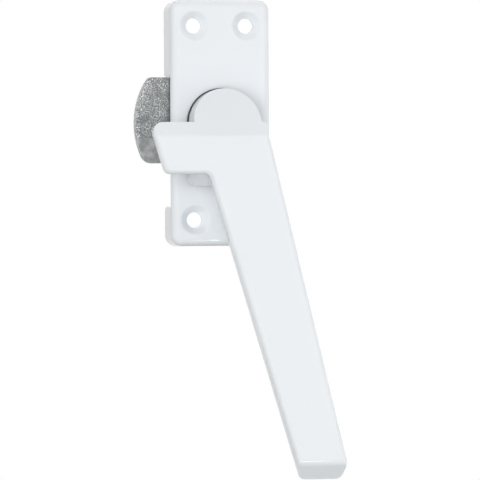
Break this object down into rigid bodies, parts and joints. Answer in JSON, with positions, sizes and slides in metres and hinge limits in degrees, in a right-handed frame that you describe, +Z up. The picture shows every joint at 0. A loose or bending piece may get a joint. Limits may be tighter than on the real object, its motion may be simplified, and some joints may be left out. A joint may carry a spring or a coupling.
{
  "type": "window lock",
  "caption": "Surface-mounted casement window lock: cast housing with countersunk screw holes, a hanging lever handle and a cam that swings out of the housing's side to hold the sash.",
  "frame": {"origin": "on the spindle axis, in the plane of the housing's back rim that lies on the sash; also the centre of the screw pattern", "axes": "+Z up the sash, +X to the right seen from the front, +Y into the sash, so the front faces -Y"},
  "size_m": [0.0571, 0.0257, 0.1359],
  "materials": {
    "white_lacquer": "smooth semi-gloss white lacquer on die-cast metal",
    "black_nylon": "moulded black nylon",
    "spring_steel": "oiled spring steel",
    "cast_zinc": "bare tumbled casting with a rough speckled skin",
    "plated_steel": "bright zinc plate"
  },
  "bodies": {
    "base": {"housing": "white_lacquer", "bearing_bush": "black_nylon", "disc_spring": "spring_steel"},
    "handle": {"lever": "white_lacquer", "cam": "cast_zinc", "clamp_washer": "plated_steel", "cam_screw": "plated_steel"}
  },
  "joints": [
    {"name": "lever_turn", "type": "hinge", "parent": "base", "child": "handle", "pos_m": [0, 0, 0], "axis": [0, -1, 0], "range_deg": [0, 90]}
  ]
}
